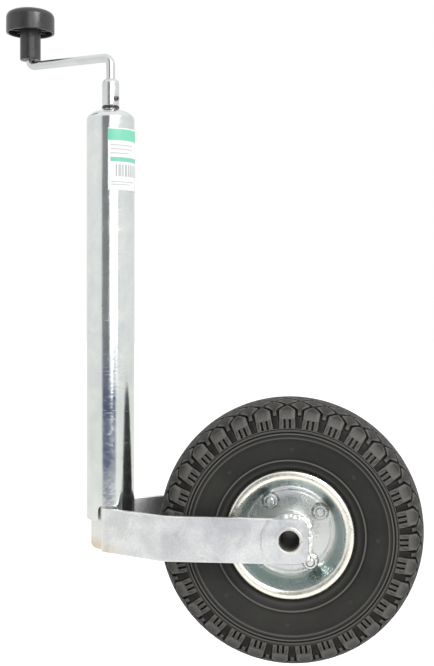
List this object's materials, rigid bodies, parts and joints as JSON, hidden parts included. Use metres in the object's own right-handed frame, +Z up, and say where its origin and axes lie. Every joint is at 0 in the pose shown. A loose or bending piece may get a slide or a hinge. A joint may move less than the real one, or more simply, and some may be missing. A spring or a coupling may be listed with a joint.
{
  "type": "trailer jack wheel",
  "caption": "Trailer jack wheel for a drawbar clamp: a telescopic zinc-plated tube with a crank on top and a pneumatic wheel in a two-armed fork.",
  "frame": {"origin": "on the outer tube's axis, halfway along its straight clamping length", "axes": "+Z up the tube to the crank, +X from the tube to the wheel, Y along the wheel's axle"},
  "size_m": [0.4279, 0.1178, 0.6602],
  "materials": {
    "zinc_bright": "bright zinc plating, smooth",
    "zinc_dull": "satin zinc plating, mottled",
    "rim_zinc": "passivated zinc with a faint yellow and green tint",
    "bright_steel": "bright steel",
    "black_steel": "blackened steel",
    "black_plastic": "moulded, lightly grained",
    "nylon": "natural nylon",
    "tyre_rubber": "moulded black rubber",
    "tube_rubber": "smooth black rubber",
    "label_film": "printed film"
  },
  "bodies": {
    "jack_tube": {"outer_tube": "zinc_bright", "label": "label_film", "top_washer": "black_plastic", "guide_ring_lower": "nylon", "race_upper": "bright_steel"},
    "crank": {"spindle": "bright_steel", "ball_ring": "bright_steel", "race_lower": "bright_steel", "spindle_collar": "black_steel", "collar_pin": "bright_steel", "stop_collar": "black_steel", "stop_pin": "bright_steel", "crank_socket": "zinc_bright", "roll_pin": "black_steel", "crank_rod": "zinc_bright"},
    "knob_grip": {"knob": "black_plastic"},
    "nut_carrier": {"spindle_nut": "black_steel"},
    "leg": {"inner_tube": "zinc_dull", "guide_ring_upper": "nylon", "fork_arm_front": "zinc_dull", "fork_arm_rear": "zinc_dull", "axle_tube": "zinc_dull", "side_washer_front": "zinc_dull", "side_washer_rear": "zinc_dull", "spacer_front": "nylon", "spacer_rear": "nylon"},
    "wheel": {"hub_barrel": "zinc_dull", "bush_front": "nylon", "bush_rear": "nylon", "rim_front": "rim_zinc", "rim_rear": "rim_zinc", "rim_bolt_1": "bright_steel", "rim_bolt_2": "bright_steel", "rim_bolt_3": "bright_steel", "rim_bolt_4": "bright_steel", "rim_nut_1": "bright_steel", "rim_nut_2": "bright_steel", "rim_nut_3": "bright_steel", "rim_nut_4": "bright_steel", "tyre": "tyre_rubber", "air_tube": "tube_rubber", "valve_stem": "tube_rubber", "valve_cap": "black_plastic"}
  },
  "joints": [
    {"name": "crank_turn", "type": "hinge", "parent": "jack_tube", "child": "crank", "pos_m": [0, 0, 0.2], "axis": [0, 0, -1], "range_deg": [0, 19800]},
    {"name": "leg_extend", "type": "slide", "parent": "jack_tube", "child": "nut_carrier", "axis": [0, 0, -1], "range_m": [0, 0.22]},
    {"name": "fork_swivel", "type": "hinge", "parent": "nut_carrier", "child": "leg", "pos_m": [0, 0, -0.2], "axis": [0, 0, 1], "range_deg": [-8, 8]},
    {"name": "wheel_spin", "type": "hinge", "parent": "leg", "child": "wheel", "pos_m": [0.181, 0, -0.207], "axis": [0, 1, 0], "continuous": true},
    {"name": "knob_spin", "type": "hinge", "parent": "crank", "child": "knob_grip", "pos_m": [-0.09192, 0.03309, 0.3], "axis": [0, 0, 1], "continuous": true}
  ],
  "couplings": [
    {"joint": "crank_turn", "follows": "leg_extend", "rad_per_m": 1570.8}
  ]
}
